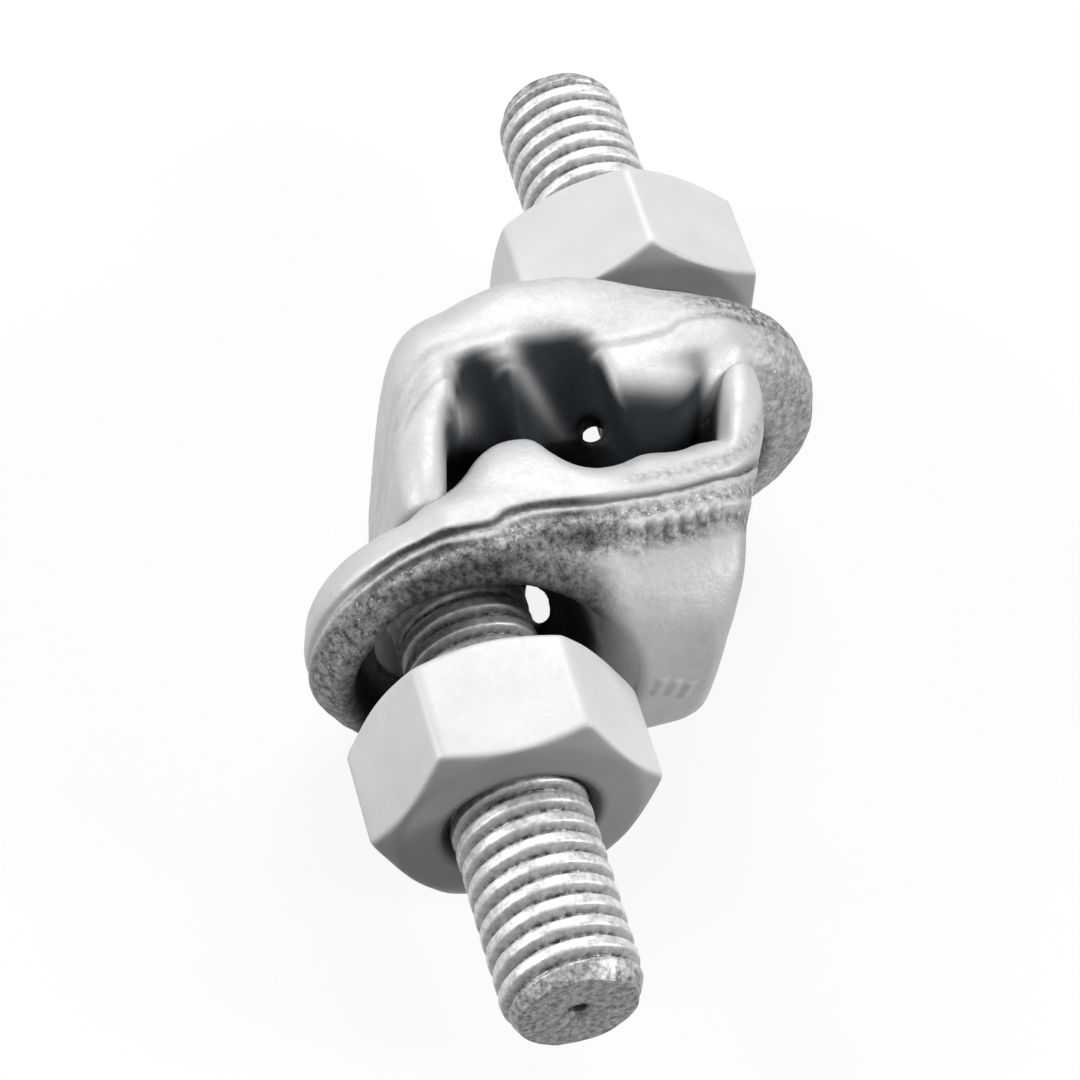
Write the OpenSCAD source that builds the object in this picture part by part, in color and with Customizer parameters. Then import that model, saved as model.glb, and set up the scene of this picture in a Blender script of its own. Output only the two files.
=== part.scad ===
// Fist grip wire rope clip, lying on its side as it rests on a bench.
// Two forged saddles of one pattern face each other across the rope.  Each saddle is one forging: a
// dished lug with an eye at one end, a rope seat in the middle and a threaded stud at the other end.
// Each stud passes through the eye of the other saddle and carries a heavy hex nut.  The near saddle
// has the leaner, rounder back and the far saddle the fuller back and the deeper mouths.
// Frame: the rope runs along Z, the studs run along Y and X goes from one stud to the other.  The
// origin is on the surface that the clip lies on, under the middle of the rope.

/* [Stud] */
// Major diameter of the stud thread
stud_d = 9.525; // [8.5:0.025:10.4]
// Distance between the two stud axes
stud_spacing = 19; // [18.6:0.1:20.2]
// Distance from the middle of the clip to the end of a stud
stud_reach = 38.5; // [34:0.5:44]
// Thread pitch
thread_pitch = 1.5875; // [1:0.0125:2]
// Depth of the thread grooves
thread_depth = 0.9; // [0.5:0.05:1]
// Length of stud that is threaded, from its end inwards
thread_length = 31; // [27:0.5:32]
// Length of the worn cone at the end of a stud
tip_cone = 1.6; // [0.6:0.1:2.4]
// Radius that the cone takes off the end of a stud
tip_bevel = 0.75; // [0.3:0.05:1.5]
// Diameter of the centre hole in the end of a stud
centre_hole_d = 1.4; // [0.8:0.1:2.4]
// Depth of the centre hole
centre_hole_depth = 1.2; // [0.6:0.1:3]

/* [Nut] */
// Width of a nut across its flats
nut_across_flats = 17.4625; // [16.5:0.0125:17.8]
// Thickness of a nut
nut_height = 9.128; // [7:0.1:11]
// Angle of the chamfers on both faces of a nut
nut_chamfer = 30; // [15:1:35]
// Distance from the flats to the flat ring on both faces of a nut
nut_face_inset = 0.4; // [0.2:0.1:1]
// Radial clearance between a nut and its stud
thread_clearance = 0.05; // [0.02:0.01:0.1]
// Depth of the countersink at both ends of a nut's hole
nut_countersink = 0.7; // [0.3:0.1:1.2]
// Distance that the near nut is backed off from its lug
near_nut_gap = 3.3; // [0.1:0.1:6]
// Distance that the far nut is backed off from its lug
far_nut_gap = 3.6; // [0.1:0.1:6]
// Turn of the near nut about its stud
near_nut_turn = 9; // [0:1:59]
// Turn of the far nut about its stud
far_nut_turn = 29; // [0:1:59]

/* [Lug] */
// Radius of a lug around its eye
lug_r = 11.1; // [10.6:0.1:11.2]
// Distance from the middle of the clip to the inner face of a lug
lug_inner = 3.5; // [3:0.1:4.2]
// Thickness of a lug from its inner face to its rim
lug_height = 8; // [7.5:0.1:8.6]
// Distance that the side of a lug leans in towards its inner face
lug_lean = 3; // [2:0.1:3.4]
// Diameter of the eye
eye_d = 11; // [10.8:0.1:11.4]
// Radius of the recess in the outer face of a lug
recess_r = 8; // [7.2:0.1:8.2]
// Depth of that recess
recess_depth = 3.6; // [2:0.1:4.4]
// Bevel between the floor and the side of the recess
recess_bevel = 1.2; // [0.4:0.1:1.6]

/* [Saddle] */
// Half the width of a saddle along the rope
saddle_half = 11.3; // [11.2:0.1:12.5]
// Distance from the middle of the clip to the back of a saddle
saddle_back = 15.2; // [14.8:0.1:17]
// Height of the side wings of a saddle past the middle of the clip
wing_height = 6.2; // [4.8:0.1:6.6]
// Thickness of the side wings
wing_width = 4.6; // [3.6:0.1:5.2]
// Distance that a wing narrows on its inner side towards its tip
wing_taper = 1.5; // [0.5:0.1:2]
// Distance that the near saddle's outer wall leans in towards its back
near_wall_lean = 5.8; // [4.8:0.1:6.2]
// Distance that the far saddle's outer wall leans in towards its back
far_wall_lean = 2.9; // [2.6:0.1:4.8]
// Distance from the rope to the near edge of the flat back
back_start = 1.5; // [0.5:0.1:2.5]
// Distance from the stud axis to the far edge of the near saddle's flat back
near_back_end = 3.3; // [2.5:0.1:3.6]
// Distance from the stud axis to the far edge of the far saddle's flat back
far_back_end = 0.6; // [0.4:0.1:2.5]
// Radius of the edges along the near saddle's back
near_back_radius = 7.6; // [5:0.1:8]
// Radius of the edges along the far saddle's back
far_back_radius = 4.6; // [3:0.1:6]
// Depth of the parting line behind the middle of the clip, beside the rope seat
parting = 6.1; // [5.6:0.1:6.6]
// Distance that the parting line falls from the rope seat to the lug
parting_fall = 1.4; // [0.6:0.1:1.8]
// Distance that the parting line rises from the rope seat to the outer wall
parting_rise = 5; // [3:0.1:6]
// Height of the flange under the parting line
flange_height = 1.2; // [0.8:0.1:1.6]
// Depth of the hollow under the flange
side_hollow = 1.1; // [0.4:0.1:1.4]
// Draft of the forged sides from the flange to the back, with the hollow
side_draft = 2.4; // [1.4:0.1:3]
// Length of the rounded edges of the top along the rope
top_edge = 3.7; // [2:0.1:4.2]
// Length of the rounded edges of the wings along the rope
wing_edge = 2.8; // [1.6:0.1:3.4]
// Radius of the rounded back about the middle of the clip
back_round = 9.5; // [9.2:0.1:12]
// Radius of that rounding at the parting line
parting_round = 16.5; // [16:0.1:18]
// Clearance between one saddle and the other
saddle_clearance = 0.3; // [0.1:0.05:0.5]
// Clearance between a saddle and the corners of the nut that turns beside it
nut_swing = 0.6; // [0.4:0.1:1]
// Distance over which the nut relief widens to its full radius
nut_relief = 2.6; // [1:0.1:3.2]

/* [Rope seat] */
// Diameter of the rope that the clip grips
rope_d = 6.5; // [6:0.1:7]
// Radial clearance of the rope in its seat
rope_clearance = 0.1; // [0:0.05:0.2]
// Distance from the middle of the clip to the floor of a rope seat
seat_floor = 2.2; // [2:0.1:2.6]
// Height of the horn between the eye and the rope seat past the middle of the clip
horn_height = 1.1; // [0.6:0.1:1.4]
// Width of the flat shelf between the rope seat and its edge
shelf_edge = 0.8; // [0.4:0.1:1.4]
// Length of the near seat's mouths along the rope
near_mouth_length = 3.4; // [2:0.1:4.5]
// Distance that the floor of the near seat falls over the length of a mouth
near_mouth_drop = 4.2; // [2:0.1:4.6]
// Width of the near seat's mouths
near_mouth_width = 7.4; // [6.8:0.1:8]
// Length of the far seat's mouths along the rope
far_mouth_length = 5.2; // [3:0.1:6]
// Distance that the floor of the far seat falls over the length of a mouth
far_mouth_drop = 6.6; // [3:0.1:6.8]
// Width of the far seat's mouths
far_mouth_width = 5.8; // [5:0.1:6.6]
// Distance that the mouths are set off from the rope towards the wing
mouth_shift = 0.8; // [0:0.1:1.2]
// Distance from the rope to the middle of the pockets beside the far seat
pocket_x = 6.9; // [6.6:0.1:7]
// Width of those pockets
pocket_width = 3.6; // [3:0.1:4]
// Depth of those pockets behind the middle of the clip, at the sides
pocket_depth = 7; // [6:0.1:8]
// Fall of the pocket floors towards the sides, per length along the rope
pocket_slope = 1.5; // [1:0.05:2]

/* [Forging radii] */
// Radius of the broad corners at the back and the outer wall
broad_radius = 6; // [3:0.1:6.4]
// Radius of the plan corners and the edges of the sides
side_radius = 4; // [2:0.1:4.6]
// Radius of the lug's shoulders
lug_radius = 3; // [2:0.1:3.4]
// Radius of the top of the horn and the wings
crown_radius = 1.6; // [0.8:0.1:2]
// Radius of the narrow corners
tight_radius = 1.2; // [0.6:0.1:1.5]

/* [Hidden] */
$fn = 60;
// Overlap that carries a cut through a face
through = 1;
stud_r = stud_d / 2;
stud_x = stud_spacing / 2;
eye_r = eye_d / 2;
lug_face = lug_inner + lug_height;
seat_r = rope_d / 2 + rope_clearance;
nut_apothem = nut_across_flats / 2;
nut_corner_r = nut_apothem / cos(30);
bore_r = stud_r + thread_clearance;
// Outer wall of a saddle, just inside the crest of its stud
wall = stud_x + stud_r - saddle_clearance;
wing_inside = wall - wing_width;
// Edge of the horn beside the wing of the other saddle
horn_edge = wing_inside - saddle_clearance;
// Top of the shelf under the horn of the other saddle
shelf = -horn_height - saddle_clearance;
// Angle between the points of the rounded edge of the top
edge_step = 18;
// Lug depth that stays inside the hook where the two forms merge
lug_merge = tight_radius / 2;

// ---- outlines ----

// Points of the rounded corner b between its neighbours a and c
function corner(a, b, c, r, n = 6) =
    let (u = (a - b) / norm(a - b), v = (c - b) / norm(c - b))
    let (half = acos(u * v) / 2, reach = r / tan(half))
    let (hub = b + (u + v) / norm(u + v) * r / sin(half))
    let (from = b + u * reach - hub, to = b + v * reach - hub)
    let (start = atan2(from[1], from[0]), turn = atan2(to[1], to[0]) - start)
    let (sweep = turn > 180 ? turn - 360 : turn < -180 ? turn + 360 : turn)
    [for (i = [0:n]) hub + r * [cos(start + sweep * i / n), sin(start + sweep * i / n)]];

// Closed outline from corners given as [x, y, radius]
function outline(p) =
    let (n = len(p), xy = [for (q = p) [q[0], q[1]]])
    [for (i = [0:n - 1])
        each p[i][2] > 0 ? corner(xy[(i + n - 1) % n], xy[i], xy[(i + 1) % n], p[i][2]) : [xy[i]]];

// Outline points on one side and their mirror images on the other
function both_sides(p) = concat(p, [for (i = [len(p) - 1:-1:0]) [-p[i][0], p[i][1], p[i][2]]]);

// ---- saddle ----

// Section of the saddle across the rope: wing, outer wall, back, web, horn, rope seat and shelf
module side_section(far) {
    foot = wall - (far ? far_wall_lean : near_wall_lean);
    back_end = stud_x - (far ? far_back_end : near_back_end);
    web_face = -lug_face + lug_merge;
    web_inside = -wing_height - lug_merge;
    polygon(outline([
        [wing_inside + wing_taper, wing_height, tight_radius],
        [wall, wing_height, crown_radius],
        [wall, through, 2 * side_radius],
        [foot, -saddle_back + side_radius, side_radius],
        [back_end, -saddle_back, crown_radius],
        [back_start, -saddle_back, crown_radius],
        [-stud_x, web_face, 0],
        [-stud_x, web_inside, 0],
        [-horn_edge - wing_taper, web_inside, 0],
        [-horn_edge + lug_merge, shelf, tight_radius],
        [-horn_edge + lug_radius, horn_height, crown_radius],
        [-seat_r + crown_radius / 2, horn_height, tight_radius],
        [0, -seat_floor + through, 0],
        [seat_r + shelf_edge, shelf, tight_radius],
        [wing_inside - shelf_edge, shelf, crown_radius]
    ]));
}

// Section of the saddle along the rope, for its rounded back
module end_section(far) {
    polygon(outline(both_sides([
        [saddle_half, wing_height + through, 0],
        [saddle_half, -parting - flange_height, 0],
        [saddle_half - side_draft, -saddle_back, far ? far_back_radius : near_back_radius]
    ])));
}

// Height of the parting line at x
function parting_at(x) = lookup(x, [
    [-stud_x, -parting - parting_fall],
    [-seat_r, -parting],
    [seat_r + shelf_edge, -parting + shelf_edge],
    [wing_inside, -parting + 2 * shelf_edge],
    [wall, -parting + parting_rise]
]);

// Height of the lug's shoulder, the horn, the shelf and the wing at x
function top_at(x) = lookup(x, [
    [-stud_x - lug_radius, -lug_inner],
    [-horn_edge + lug_radius, horn_height],
    [-seat_r, horn_height],
    [0, shelf],
    [wing_inside, shelf],
    [wing_inside + wing_taper, wing_height]
]);

// Length of the rounded edges at x
function edge_at(x) = lookup(x, [[wing_inside, top_edge], [wall - crown_radius, wing_edge]]);

// Half of the section at x as [y, z]: rounded edge of the top, flange and hollow side
function side_at(x) = let (top = top_at(x), line = parting_at(x), foot = line - flange_height)
    concat(
        [[wing_height + through, saddle_half - edge_at(x)]],
        [for (a = [0:edge_step:90])
            [line + (top - line) * cos(a), saddle_half - edge_at(x) * (1 - sin(a))]],
        [
            [foot, saddle_half],
            [foot - 2 * side_hollow, saddle_half - side_hollow],
            [-saddle_back - through, saddle_half - side_draft]
        ]
    );

// Body between the forged sides, whose parting line rises from the lug to the outer wall
module forged_sides() {
    stations = [
        -stud_x - lug_r - through, -stud_x - lug_radius, -stud_x, -horn_edge + lug_radius, -seat_r,
        0, seat_r + shelf_edge, wing_inside, wing_inside + wing_taper, wall - crown_radius, wall,
        wall + side_radius
    ];
    rows = [for (x = stations) let (half = side_at(x), n = len(half))
        concat([for (q = half) [x, q[0], q[1]]], [for (i = [n - 1:-1:0]) [x, half[i][0], -half[i][1]]])];
    n = len(rows[0]);
    last = len(rows) - 1;
    polyhedron(
        points = [for (row = rows) each row],
        faces = concat(
            [[for (i = [0:n - 1]) i]],
            [for (k = [0:last - 1], i = [0:n - 1]) let (a = k * n + i, b = k * n + (i + 1) % n)
                each [[a, b + n, b], [a, a + n, b + n]]],
            [[for (i = [n - 1:-1:0]) last * n + i]]
        )
    );
}

// Plan of the saddle along the studs: round at the outer wall, merging into the lug at the other end
module plan_section() {
    side = stud_x + stud_r;
    lug_side = lug_r - through;
    polygon(outline([
        [side, -saddle_half, side_radius],
        [side, saddle_half, side_radius],
        [-stud_x / 2, saddle_half, broad_radius],
        [-stud_x - through, lug_side, 0],
        [-stud_x - through, -lug_side, 0],
        [-stud_x / 2, -saddle_half, broad_radius]
    ]));
}

// Cone that rounds the corners of the back
module back_cone() {
    slope = (parting_round - back_round) / (saddle_back - parting);
    height = saddle_back + wing_height + 2 * through;
    translate([0, -saddle_back - through, 0])
        rotate([-90, 0, 0])
            cylinder(
                r1 = back_round - slope * through,
                r2 = back_round + slope * height,
                h = height + through
            );
}

// Hooked body of the saddle from its wings round under the rope to the lug
module hook(far) {
    intersection() {
        back_cone();
        forged_sides();
        translate([0, 0, -saddle_half]) linear_extrude(height = 2 * saddle_half) side_section(far);
        rotate([0, 90, 0])
            translate([0, 0, -stud_spacing]) linear_extrude(height = 2 * stud_spacing) end_section(far);
        rotate([90, 0, 0])
            translate([0, 0, -wing_height - through])
                linear_extrude(height = wing_height + saddle_back + 2 * through) plan_section();
    }
}

// Outer form of a dished lug about its own axis, grown by a clearance
module lug_form(grow = 0) {
    rotate_extrude() polygon(outline([
        [0, lug_inner - grow, 0],
        [lug_r - lug_lean + grow, lug_inner - grow, lug_radius],
        [lug_r + grow, lug_inner + lug_height / 2, lug_radius],
        [lug_r + grow, lug_face + grow, crown_radius],
        [0, lug_face + grow, 0]
    ]));
}

// Recess round the eye and the eye itself
module eye_cut() {
    floor_at = lug_face - recess_depth;
    rotate_extrude() polygon([
        [0, -saddle_back],
        [eye_r, -saddle_back],
        [eye_r, floor_at],
        [recess_r - recess_bevel, floor_at],
        [recess_r, floor_at + recess_bevel],
        [recess_r, lug_face + through],
        [0, lug_face + through]
    ]);
}

// Space that the corners of the nut sweep beside the back of the saddle
module nut_cut() {
    swing_r = nut_corner_r + nut_swing;
    rotate_extrude() polygon([
        [0, lug_face],
        [recess_r + nut_swing, lug_face],
        [swing_r, lug_face + nut_relief],
        [swing_r, 2 * saddle_back],
        [0, 2 * saddle_back]
    ]);
}

// Mouth of the rope seat on the +Z side: its floor falls away towards the side
module mouth_cut(far) {
    start = saddle_half - (far ? far_mouth_length : near_mouth_length);
    drop = far ? far_mouth_drop : near_mouth_drop;
    mouth_r = (far ? far_mouth_width : near_mouth_width) / 2;
    hull() {
        translate([0, seat_r - seat_floor, start]) cylinder(r = seat_r, h = saddle_clearance);
        translate([mouth_shift, 0, saddle_half]) cylinder(r = mouth_r, h = through);
        translate([mouth_shift, mouth_r - seat_floor - drop, saddle_half])
            cylinder(r = mouth_r, h = through);
    }
}

// Pocket beside the rope seat on the +Z side: its floor falls away towards the side
module pocket_cut() {
    half = pocket_width / 2;
    translate([pocket_x, -pocket_depth, saddle_half])
        rotate([atan(pocket_slope), 0, 0])
            translate([0, 0, -saddle_half]) linear_extrude(height = 2 * saddle_half) polygon(outline([
                [-half, saddle_half, 0],
                [-half, 0, tight_radius],
                [half, 0, tight_radius],
                [half, saddle_half, 0]
            ]));
}

// Rope seat: a true cylinder along the rope with a mouth at each end
module seat_cut(far) {
    translate([0, seat_r - seat_floor, -saddle_half - through])
        cylinder(r = seat_r, h = 2 * (saddle_half + through));
    for (side = [0, 1]) mirror([0, 0, side]) {
        mouth_cut(far);
        if (far) pocket_cut();
    }
}

// Threaded stud about +Z: V grooves one pitch apart below a worn cone
module stud() {
    root = shelf - lug_merge;
    crest = thread_pitch / 8;
    groove_count = floor((thread_length - tip_cone) / thread_pitch);
    first = stud_reach - tip_cone - crest;
    difference() {
        rotate_extrude() polygon(concat(
            [[0, root], [stud_r, root]],
            [for (i = [groove_count - 1:-1:0]) each [
                [stud_r, first - (i + 1) * thread_pitch + crest],
                [stud_r - thread_depth, first - (i + 0.5) * thread_pitch],
                [stud_r, first - i * thread_pitch]
            ]],
            [[stud_r, stud_reach - tip_cone], [stud_r - tip_bevel, stud_reach], [0, stud_reach]]
        ));
        translate([0, 0, stud_reach - centre_hole_depth])
            cylinder(r1 = centre_hole_d / 4, r2 = centre_hole_d / 2, h = centre_hole_depth);
    }
}

// Stud in its place, its root cut flush with the leaning outer wall
module placed_stud(far) {
    wall_start = through + crown_radius;
    intersection() {
        translate([stud_x, 0, 0]) rotate([-90, 0, 0]) stud();
        translate([0, 0, -stud_d]) linear_extrude(height = 2 * stud_d) polygon([
            [0, -saddle_back],
            [wall - (far ? far_wall_lean : near_wall_lean), -saddle_back],
            [wall, wall_start],
            [stud_x + stud_d, wall_start + side_radius],
            [stud_x + stud_d, 2 * stud_reach],
            [0, 2 * stud_reach]
        ]);
    }
}

// Bed for the lug of the other saddle, left round the stud
module bed_cut() {
    difference() {
        lug_form(grow = saddle_clearance);
        cylinder(r = stud_r, h = stud_reach);
    }
}

// One forged saddle about the middle of the clip: eye at -X, stud at +X towards +Y
module saddle(far) {
    difference() {
        union() {
            difference() {
                union() {
                    hook(far);
                    translate([-stud_x, 0, 0]) rotate([90, 0, 0]) lug_form();
                }
                seat_cut(far);
                translate([-stud_x, 0, 0]) rotate([90, 0, 0]) eye_cut();
                translate([-stud_x, 0, 0]) rotate([90, 0, 0]) nut_cut();
            }
            placed_stud(far);
        }
        translate([stud_x, 0, 0]) rotate([-90, 0, 0]) bed_cut();
    }
}

// ---- nut ----

// Solid of revolution that both faces of a nut are chamfered to
module nut_chamfer_form() {
    face_r = nut_apothem - nut_face_inset;
    reach = nut_corner_r + through;
    drop = (reach - face_r) * tan(nut_chamfer);
    rotate_extrude() polygon([
        [0, 0],
        [face_r, 0],
        [reach, drop],
        [reach, nut_height - drop],
        [face_r, nut_height],
        [0, nut_height]
    ]);
}

// Hole of a nut with a countersink at each end
module nut_hole() {
    sink_r = bore_r + nut_countersink;
    rotate_extrude() polygon([
        [0, -through],
        [sink_r + through, -through],
        [bore_r, nut_countersink],
        [bore_r, nut_height - nut_countersink],
        [sink_r + through, nut_height + through],
        [0, nut_height + through]
    ]);
}

// Heavy hex nut about +Z, its inner face at zero
module nut(turn) {
    difference() {
        intersection() {
            rotate([0, 0, turn]) cylinder(r = nut_corner_r, h = nut_height, $fn = 6);
            nut_chamfer_form();
        }
        nut_hole();
    }
}

// ---- nodes ----

module near_saddle() {
    color("gainsboro") translate([0, 0, saddle_half]) saddle(far = false);
}

module far_saddle() {
    color("gainsboro") translate([0, 0, saddle_half]) rotate([0, 0, 180]) saddle(far = true);
}

module near_nut() {
    color("whitesmoke")
        translate([-stud_x, -lug_face - near_nut_gap, saddle_half])
            rotate([90, 0, 0]) nut(near_nut_turn);
}

module far_nut() {
    color("whitesmoke")
        translate([stud_x, lug_face + far_nut_gap, saddle_half])
            rotate([-90, 0, 0]) nut(far_nut_turn);
}

near_saddle();
far_saddle();
near_nut();
far_nut();
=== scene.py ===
"""Looks of the wire rope clip: two forged saddles, their studs and two heavy hex nuts, on a pale floor.

Lengths are in millimetres up to the point where a mesh is made, which is in metres.
Each half is described in its own frame: the rope along Z, the eye at -X, the stud at +X towards +Y.
Both halves are of one pattern, the far one turned half a turn about the rope. NEAR and FAR hold what differs.
"""

import math
from types import SimpleNamespace

import bmesh
import bpy
import numpy as np
from mathutils import Matrix, Vector


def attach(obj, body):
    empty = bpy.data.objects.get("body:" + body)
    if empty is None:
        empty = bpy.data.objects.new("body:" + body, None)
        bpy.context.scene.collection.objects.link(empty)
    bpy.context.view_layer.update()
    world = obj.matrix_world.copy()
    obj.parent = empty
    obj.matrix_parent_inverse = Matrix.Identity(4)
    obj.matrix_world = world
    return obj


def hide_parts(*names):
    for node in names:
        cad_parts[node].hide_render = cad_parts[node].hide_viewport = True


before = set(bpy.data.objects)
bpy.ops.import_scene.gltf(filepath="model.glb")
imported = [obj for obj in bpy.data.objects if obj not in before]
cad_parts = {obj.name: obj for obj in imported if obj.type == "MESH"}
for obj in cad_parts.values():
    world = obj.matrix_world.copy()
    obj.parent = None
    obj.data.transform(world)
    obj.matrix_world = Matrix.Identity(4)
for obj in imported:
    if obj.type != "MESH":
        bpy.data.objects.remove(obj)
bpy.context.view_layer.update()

MM = 0.001
TURN = 2 * math.pi
SEED = 11

# ---- sizes, in millimetres ----

# Half the clip's depth along the rope
HALF = 11.3

STUD_R = 9.525 / 2
STUD_X = 9.5
STUD_REACH = 38.5
STUD_ROOT_Y = 3.2
PITCH = 1.5875
THREAD_START = 7.5
THREAD_RUN_IN = 1.5 * PITCH
THREAD_DEPTH = 0.75
TIP_CONE = 1.6
TIP_BEVEL = 0.75
CENTRE_HOLE_R = 0.7
CENTRE_HOLE_DEPTH = 1.2

NUT_APOTHEM = 17.4625 / 2
NUT_HEIGHT = 9.128
NUT_CHAMFER = math.radians(30)
NUT_FACE_INSET = 0.4
NUT_BORE_R = STUD_R + 0.05
NUT_SINK = 0.7
# Radii from which the painted shadow round a nut's bore fades, and where it has gone
BORE_SHADE_R = (5.3, 6.6)

LUG_FACE = 11.5
EYE_R = 6.2
BACK = 15.2
SEAT_R = 3.35
SEAT_Y = 1.15
SIDE = HALF - 0.2
BACK_BELOW_PARTING = BACK - 6.1

# Height of the parting line along the half, and of the top of the horn, the shelf and the ear
PARTING_LINE = [(-21, -8.1), (-18, -7.9), (-14, -7.4), (-10, -7.3), (-8.6, -7.1), (-7.7, -6.5), (-6.6, -6.2),
                (-1, -6.1), (6.3, -5.6), (9.9, -4.4), (12, -2.2), (14, 1.2)]
TOP_LINE = [(-14, -3.4), (-11.3, -3.1), (-9.2, -1.7), (-7.2, 0.4), (-5.9, 1.1), (-4.6, 1.3), (-3.3, 1.1),
            (-1.6, -0.2), (0, -1.3), (4, -1.4), (8.6, -1.4), (9.4, -0.9), (10.2, 2.2), (11, 5.0), (12.2, 6.1),
            (13.2, 5.8), (14, 4.9)]
EAR_X = 7.6
INNER_END = (-12.5, 9)
SHOULDER = 3.7
CORNER_R = 4.0
BACK_CONE_R = 10.6

# Lug, round the eye's axis
LUG_CORE = [(0, -5.2), (6.6, -5.2), (8.9, -6.3), (9.25, -7.5), (9.1, -9.1), (8.5, -9.85), (0, -9.85)]
LUG_ROUND = 1.65
RECESS_R, RECESS_Y = 7.0, -8
RELIEF_Y, RELIEF_LIMIT_R = -12, 10.75
LUG_BED_GAP = 0.35

# Lines along the flange: how far below the parting line, how high and how wide
BEAD_AT, BEAD_HEIGHT, BEAD_WIDTH = 1.1, 0.26, 0.34
GROOVE_AT, GROOVE_DEPTH, GROOVE_WIDTH = 0.35, 0.34, 0.28
CREST_AT, CREST_HEIGHT, CREST_WIDTH = 2.5, 0.2, 0.3

# Hollow between the far half's seat and its ear
POCKET_X, POCKET_HALF_WIDTH, POCKET_DEPTH, POCKET_SLOPE = 6.2, 1.8, 9.0, 1.5

# Painted highlight: a lit spot at the far half's ear, where the painted shade is lifted
LIT_SPOT_X, LIT_SPOT_Y, LIT_SPOT_Z = EAR_X, -3.2, 9.2

# Scoop between the eye and the seat, and the slanting gap on each side where the eye breaks into the seat
SCOOP_X, SCOOP_Y = -3.9, -3
SCOOP_REACH = (1.3, 3, 2)
GAP_AT = (-2.5, -3.9, 3.6)
GAP_ALONG, GAP_ACROSS, GAP_RISE = (0.262, 0.497, 0.828), (0.965, -0.135, -0.224), (0, 0.857, -0.515)
GAP_HALF_WIDTH, GAP_HALF_LENGTH = 0.95, 5.5

# Raised bars on the near half's side, and low on its back
BARS_X = (0.9, 2.2, 3.4, 4.5, 5.6, 6.6)
LOW_BARS_X = (2.6, 3.8, 5.0)
BAR_HEIGHT, LOW_BAR_HEIGHT = 0.27, 0.18

# Box that a half fits in, and the spacing of the net that its surface is made from
BOX_LOW, BOX_HIGH = (-21.2, -16, -12), (15, 7, 12)
NET_STEP = 0.2

# A stud's end: rings over it as shares of its radius, then down its centre hole as shares of the hole's
# radius and depth, and the most that a stud's surface stands out where it is worn
END_RINGS = (1, 0.92, 0.8, 0.66, 0.52, 0.4, 0.3)
END_DISH, HOLE_LIP = 0.12, 0.1
HOLE_RINGS = ((1, 0.1), (0.85, 0.35), (0.45, 0.8), (0.1, 1))
STUD_WEAR_LIMIT = 0.015

# ---- view and light ----

# The photograph's view: axes, place in millimetres, and its size, focal length and middle in pixels
VIEW_RIGHT = (0.95768, -0.25346, 0.13641)
VIEW_DOWN = (-0.12366, -0.79025, -0.60017)
VIEW_AHEAD = (0.25992, 0.55791, -0.78815)
VIEW_PLACE = (-72.236, -151.581, 221.282)
PICTURE, FOCAL, MIDDLE = 1080, 3844.09, (535.516, 559.341)

# The lamps' distance and the floor's reach in metres, how strongly the world lights the clip, and the share
# of plain white in the floor that the camera sees
LIGHT_DISTANCE = 0.7
FLOOR_REACH = 3.0
WORLD_LEVEL = 0.04
FLOOR_WHITE = 0.88

# ---- the two halves ----

# What differs between the halves. The wall is [height, distance from the rope], and the web goes on from
# its foot to the lug. Fullness rounds the back and draft tapers the flange, with a change towards the eye.
# The low corner is the one on the wall's side at -Z, and lines is how much of the flange's lines shows.
# cavity_rim and cavity_floor bound the painted shade in the seats, and groove_tone is how dark the painted
# shade in the flange's groove is.
NEAR = SimpleNamespace(
    far=False, seed=1,
    wall=[(-BACK, 6.6), (-11.8, 8.5), (-8.5, 9.6), (-5.2, 11.0), (-2.5, 12.3), (-0.6, 13.2), (2.2, 14),
          (9, 14)],
    web=[(1.2, -BACK), (-9.5, -11.2), (-12.5, -10.6)],
    fullness=2.4, fullness_gain=0, draft=1, draft_loss=0, low_corner_r=5.6, lines=1,
    mouth_length=3.7, mouth_drop=0.6, mouth_flare=0.4, seat_edge=0.9, relief_r=9.0,
    gap_height=1.8, gap_drop=0, cavity_rim=(1.5, 5), cavity_floor=0, groove_tone=1,
)
FAR = SimpleNamespace(
    far=True, seed=5,
    wall=[(-BACK, 9.2), (-12.5, 10.7), (-9, 11.6), (-5.5, 12.3), (-2.1, 13.3), (1.4, 14), (9, 14)],
    web=[(-2.5, -BACK), (-9.5, -12.4), (-12.5, -11)],
    fullness=3.6, fullness_gain=2, draft=0.6, draft_loss=0.35, low_corner_r=CORNER_R, lines=0.1,
    mouth_length=5.2, mouth_drop=4.0, mouth_flare=-0.45, seat_edge=1.5, relief_r=8.3,
    gap_height=0.85, gap_drop=0.5, cavity_rim=(0.3, 1.6), cavity_floor=-3, groove_tone=0.3,
)


# ---- numbers ----


def smooth_min(a, b, k):
    """The lesser of two fields, with a rounded valley k wide where they meet."""
    h = np.clip(0.5 + 0.5 * (b - a) / k, 0, 1)
    return b + (a - b) * h - k * h * (1 - h)


def smooth_max(a, b, k):
    """The greater of two fields, with a rounded crest k wide where they meet."""
    return -smooth_min(-a, -b, k)


def ramp(v, start, end):
    """0 before start and 1 after end, with a smooth rise between."""
    t = np.clip((v - start) / (end - start), 0, 1)
    return t * t * (3 - 2 * t)


def bell(v, middle, width):
    """A bump of height 1 about middle."""
    return np.exp(-(((v - middle) / width) ** 2))


def curve(x, points):
    """A smooth curve y(x) through a few points."""
    xs, ys = np.array(points, float).T
    slopes = np.gradient(ys, xs)
    x = np.clip(x, xs[0], xs[-1])
    i = np.clip(np.searchsorted(xs, x) - 1, 0, len(xs) - 2)
    run = xs[i + 1] - xs[i]
    t = (x - xs[i]) / run
    rise = (2 * t**3 - 3 * t**2 + 1) * ys[i] + (3 * t**2 - 2 * t**3) * ys[i + 1]
    return rise + run * ((t**3 - 2 * t**2 + t) * slopes[i] + (t**3 - t**2) * slopes[i + 1])


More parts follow.
